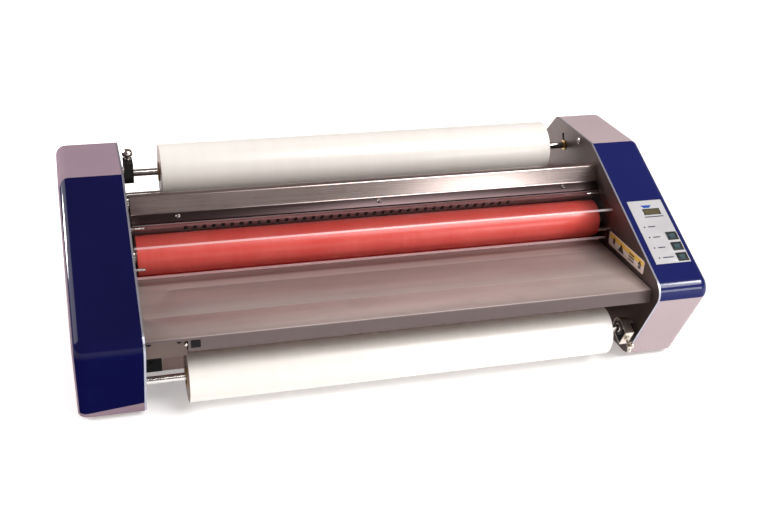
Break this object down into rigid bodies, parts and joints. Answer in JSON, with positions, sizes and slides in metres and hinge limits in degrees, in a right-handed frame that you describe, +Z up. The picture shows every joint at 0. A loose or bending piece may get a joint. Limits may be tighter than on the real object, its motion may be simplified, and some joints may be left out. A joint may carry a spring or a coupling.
{
  "type": "roll laminator",
  "caption": "Bench roll laminator: two cabinets carry heated nip rollers, pull rollers, film supply rolls, a feed table, a clear shield and a steel hood.",
  "frame": {"origin": "on the floor under the middle of the machine", "axes": "+X along the rollers to the control panel side, +Y to the rear, +Z up"},
  "size_m": [0.988, 0.4899, 0.3129],
  "materials": {
    "cover_paint": "glossy powder coat, blue on the front slope and nose, grey elsewhere",
    "plate_steel": "zinc plated sheet steel",
    "pan_paint": "satin enamel",
    "stainless": "brushed stainless sheet",
    "bright_steel": "ground and polished steel",
    "vent_black": "satin black",
    "silicone": "smooth silicone rubber",
    "grey_rubber": "ground rubber",
    "foot_rubber": "moulded rubber",
    "gear_plastic": "moulded nylon",
    "pinion_steel": "machined steel",
    "motor_grey": "satin enamel",
    "film_plastic": "wound laminating film",
    "card": "spiral wound card",
    "bronze": "sintered bronze",
    "pad_felt": "pressed felt",
    "clear_shield": "clear bent plastic sheet",
    "panel_foil": "printed foil on sheet metal",
    "circuit": "green solder resist",
    "display_glass": "liquid crystal window",
    "lamp_red": "tinted lamp lens",
    "key_teal": "satin moulded key",
    "black_plastic": "moulded black plastic"
  },
  "bodies": {
    "frame": {"pan": "pan_paint", "left_floor": "pan_paint", "right_floor": "pan_paint", "feet": "foot_rubber", "left_side_plate": "plate_steel", "right_side_plate": "plate_steel", "left_cover": "cover_paint", "right_cover": "cover_paint", "tie_rods": "bright_steel", "machine_screws": "bright_steel", "rear_panel": "stainless", "table_rails": "plate_steel", "latch_bracket": "plate_steel", "table_latch": "bright_steel", "shield_pivots": "bright_steel", "shield_rest_pins": "bright_steel", "hood": "stainless", "vent_strip": "vent_black", "film_guides": "bright_steel", "roller_bearings": "bright_steel", "pressure_springs": "bright_steel", "pressure_brackets": "plate_steel", "idler_stud": "bright_steel", "gearmotor": "motor_grey", "supply_bushes": "bronze", "brake_yokes": "bright_steel", "brake_pads": "pad_felt", "control_panel": "panel_foil", "control_board": "circuit", "display": "display_glass", "lamps": "lamp_red", "power_unit": "black_plastic"},
    "table": {"feed_table": "stainless"},
    "shield": {"shield": "clear_shield"},
    "lower_heat_roller": {"lower_heat_shaft": "bright_steel", "lower_heat_sleeve": "silicone", "lower_heat_gear": "gear_plastic"},
    "upper_heat_roller": {"upper_heat_shaft": "bright_steel", "upper_heat_sleeve": "silicone", "upper_heat_gear": "gear_plastic"},
    "lower_pull_roller": {"lower_pull_shaft": "bright_steel", "lower_pull_sleeve": "grey_rubber", "lower_pull_gear": "gear_plastic"},
    "upper_pull_roller": {"upper_pull_shaft": "bright_steel", "upper_pull_sleeve": "grey_rubber", "upper_pull_gear": "gear_plastic"},
    "idler": {"idler_gear": "gear_plastic"},
    "pinion": {"drive_pinion": "pinion_steel"},
    "upper_supply": {"upper_supply_shaft": "bright_steel", "upper_core": "card", "upper_film": "film_plastic"},
    "lower_supply": {"lower_supply_shaft": "bright_steel", "lower_core": "card", "lower_film": "film_plastic"},
    "upper_thumbscrew": {"upper_brake_screw": "bright_steel"},
    "lower_thumbscrew": {"lower_brake_screw": "bright_steel"},
    "run_key": {"button_run": "key_teal"},
    "stop_key": {"button_stop": "key_teal"},
    "reverse_key": {"button_reverse": "key_teal"},
    "rocker": {"power_switch": "black_plastic"}
  },
  "joints": [
    {"name": "table_slide", "type": "slide", "parent": "frame", "child": "table", "axis": [0, -1, 0], "range_m": [0, 0.19]},
    {"name": "shield_hinge", "type": "hinge", "parent": "frame", "child": "shield", "pos_m": [0, -0.008, 0.236], "axis": [-1, 0, 0], "range_deg": [0, 70]},
    {"name": "lower_heat_turn", "type": "hinge", "parent": "frame", "child": "lower_heat_roller", "pos_m": [0, -0.008, 0.1275], "axis": [1, 0, 0], "continuous": true},
    {"name": "upper_heat_turn", "type": "hinge", "parent": "frame", "child": "upper_heat_roller", "pos_m": [0, -0.008, 0.1905], "axis": [1, 0, 0], "continuous": true},
    {"name": "lower_pull_turn", "type": "hinge", "parent": "frame", "child": "lower_pull_roller", "pos_m": [0, 0.102, 0.1345], "axis": [1, 0, 0], "continuous": true},
    {"name": "upper_pull_turn", "type": "hinge", "parent": "frame", "child": "upper_pull_roller", "pos_m": [0, 0.102, 0.1835], "axis": [1, 0, 0], "continuous": true},
    {"name": "idler_turn", "type": "hinge", "parent": "frame", "child": "idler", "pos_m": [0, 0.05118, 0.12133], "axis": [1, 0, 0], "continuous": true},
    {"name": "pinion_turn", "type": "hinge", "parent": "frame", "child": "pinion", "pos_m": [0, 0.05118, 0.07933], "axis": [1, 0, 0], "continuous": true},
    {"name": "upper_supply_turn", "type": "hinge", "parent": "frame", "child": "upper_supply", "pos_m": [0, 0.148, 0.268], "axis": [1, 0, 0], "continuous": true},
    {"name": "lower_supply_turn", "type": "hinge", "parent": "frame", "child": "lower_supply", "pos_m": [0, -0.17, 0.061], "axis": [1, 0, 0], "continuous": true},
    {"name": "upper_thumbscrew_turn", "type": "hinge", "parent": "frame", "child": "upper_thumbscrew", "pos_m": [-0.381, 0.148, 0.268], "axis": [0, 0, 1], "range_deg": [-180, 180]},
    {"name": "lower_thumbscrew_turn", "type": "hinge", "parent": "frame", "child": "lower_thumbscrew", "pos_m": [0.39, -0.17, 0.061], "axis": [0, -0.8829, -0.4695], "range_deg": [-180, 180]},
    {"name": "run_press", "type": "slide", "parent": "frame", "child": "run_key", "axis": [0, 0.4321, -0.9018], "range_m": [0, 0.001], "stiffness_N_per_m": 900, "springref_m": -0.0006},
    {"name": "stop_press", "type": "slide", "parent": "frame", "child": "stop_key", "axis": [0, 0.4321, -0.9018], "range_m": [0, 0.001], "stiffness_N_per_m": 900, "springref_m": -0.0006},
    {"name": "reverse_press", "type": "slide", "parent": "frame", "child": "reverse_key", "axis": [0, 0.4321, -0.9018], "range_m": [0, 0.001], "stiffness_N_per_m": 900, "springref_m": -0.0006},
    {"name": "rocker_tip", "type": "hinge", "parent": "frame", "child": "rocker", "pos_m": [0.448, 0.235, 0.094], "axis": [-1, 0, 0], "range_deg": [0, 14]}
  ],
  "couplings": [
    {"joint": "upper_heat_turn", "follows": "lower_heat_turn", "ratio": -1},
    {"joint": "idler_turn", "follows": "lower_heat_turn", "ratio": -1.125},
    {"joint": "lower_pull_turn", "follows": "lower_heat_turn", "ratio": 1.2857},
    {"joint": "upper_pull_turn", "follows": "lower_heat_turn", "ratio": -1.2857},
    {"joint": "pinion_turn", "follows": "lower_heat_turn", "ratio": 2.25}
  ]
}
